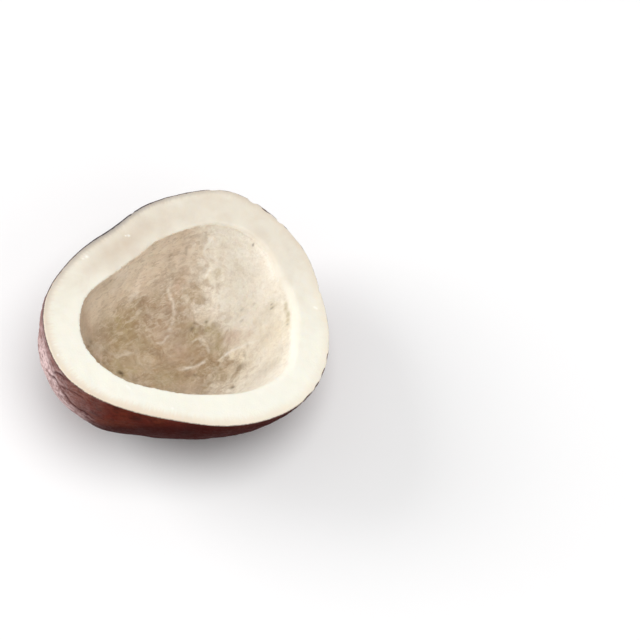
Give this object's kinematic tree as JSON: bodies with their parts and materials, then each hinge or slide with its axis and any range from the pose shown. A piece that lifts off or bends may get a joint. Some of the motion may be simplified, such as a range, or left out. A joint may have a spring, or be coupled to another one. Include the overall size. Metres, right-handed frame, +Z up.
{
  "type": "dried coconut half",
  "caption": "Half of a dried coconut kernel: a thick cream cup of flesh in wrinkled brown skin, lying cut face up on its rounded back.",
  "frame": {"origin": "on the resting plane, under the centre of the bounding box", "axes": "+Z up, out of the open side; +X to the right and +Y away from a viewer who stands where the picture was taken; the cut face leans 15 degrees towards +X"},
  "size_m": [0.0896, 0.0894, 0.0497],
  "materials": {
    "coconut_flesh": "dry, slightly waxy cream flesh with a satin cut face; the skin outside is dull dark red-brown and wrinkled"
  },
  "bodies": {
    "root": {"dried_coconut_half": "coconut_flesh"}
  },
  "joints": []
}
